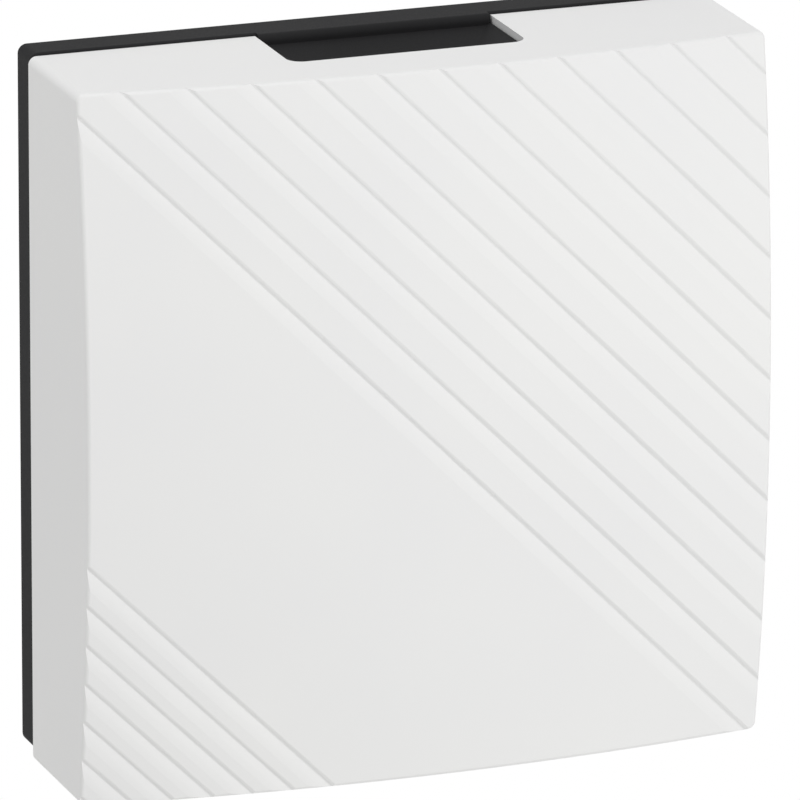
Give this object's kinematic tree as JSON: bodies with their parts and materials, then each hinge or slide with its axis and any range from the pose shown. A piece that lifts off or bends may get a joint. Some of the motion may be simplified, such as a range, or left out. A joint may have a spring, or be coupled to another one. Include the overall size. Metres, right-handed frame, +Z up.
{
  "type": "doorbell chime box",
  "caption": "Wall-mounted wired door chime: domed square cover with diagonal stepped flutes pressed over a black base tray, with a solenoid that strikes steel tone bars inside.",
  "frame": {"origin": "centre of the cover's width and height, on the wall plane that the base's back lies on", "axes": "+Z up the wall, +Y into the wall (the front looks along -Y), +X to the right seen from the front"},
  "size_m": [0.138, 0.0474, 0.1404],
  "materials": {
    "cover_white": "fine satin moulded ABS",
    "base_black": "finely textured moulded ABS",
    "bar_steel": "bright zinc plated steel",
    "grommet_rubber": "soft black rubber",
    "screw_steel": "zinc plated steel",
    "yoke_steel": "zinc plated strip",
    "bobbin_nylon": "natural nylon",
    "winding_copper": "enamelled copper wire",
    "coil_tape": "yellow polyester tape",
    "tinned_brass": "tinned",
    "sleeve_brass": "drawn tube",
    "plunger_iron": "ground and plated",
    "striker_nylon": "moulded nylon",
    "spring_steel": "drawn wire",
    "block_white": "moulded",
    "terminal_brass": "stamped and turned",
    "lead_insulation": "extruded sleeve"
  },
  "bodies": {
    "base": {"base_tray": "base_black", "tone_bar_high": "bar_steel", "tone_bar_low": "bar_steel", "bar_grommets": "grommet_rubber", "hanger_pins": "screw_steel", "solenoid_yoke": "yoke_steel", "yoke_bridge": "yoke_steel", "coil_bobbin": "bobbin_nylon", "coil_winding": "winding_copper", "coil_tape": "coil_tape", "coil_pins": "tinned_brass", "plunger_sleeve": "sleeve_brass", "spring_seat": "grommet_rubber", "return_spring": "spring_steel", "solenoid_screws": "screw_steel", "terminal_block": "block_white", "terminal_block_screw": "screw_steel", "terminal_plates": "terminal_brass", "coil_lead_left": "lead_insulation", "coil_lead_right": "lead_insulation"},
    "cover": {"front_cover": "cover_white"},
    "plunger": {"plunger_core": "plunger_iron", "striker_low": "striker_nylon", "striker_high": "striker_nylon"},
    "clamp_1": {"clamp_washer_1": "screw_steel"},
    "screw_1": {"terminal_screw_1": "terminal_brass"},
    "clamp_2": {"clamp_washer_2": "screw_steel"},
    "screw_2": {"terminal_screw_2": "terminal_brass"}
  },
  "joints": [
    {"name": "cover_pull", "type": "slide", "parent": "base", "child": "cover", "axis": [0, -1, 0], "range_m": [0, 0.09]},
    {"name": "plunger_slide", "type": "slide", "parent": "base", "child": "plunger", "axis": [1, 0, 0], "range_m": [-0.0015, 0.0082], "stiffness_N_per_m": 60, "deforming": ["return_spring"]},
    {"name": "clamp_1_lift", "type": "slide", "parent": "base", "child": "clamp_1", "axis": [0, -1, 0], "range_m": [0, 0.0025]},
    {"name": "terminal_screw_1_turn", "type": "hinge", "parent": "clamp_1", "child": "screw_1", "pos_m": [-0.0075, -0.01, -0.029], "axis": [0, -1, 0], "range_deg": [0, 1800]},
    {"name": "clamp_2_lift", "type": "slide", "parent": "base", "child": "clamp_2", "axis": [0, -1, 0], "range_m": [0, 0.0025]},
    {"name": "terminal_screw_2_turn", "type": "hinge", "parent": "clamp_2", "child": "screw_2", "pos_m": [0.0075, -0.01, -0.029], "axis": [0, -1, 0], "range_deg": [0, 1800]}
  ],
  "couplings": [
    {"joint": "terminal_screw_1_turn", "follows": "clamp_1_lift", "rad_per_m": 12566},
    {"joint": "terminal_screw_2_turn", "follows": "clamp_2_lift", "rad_per_m": 12566}
  ]
}
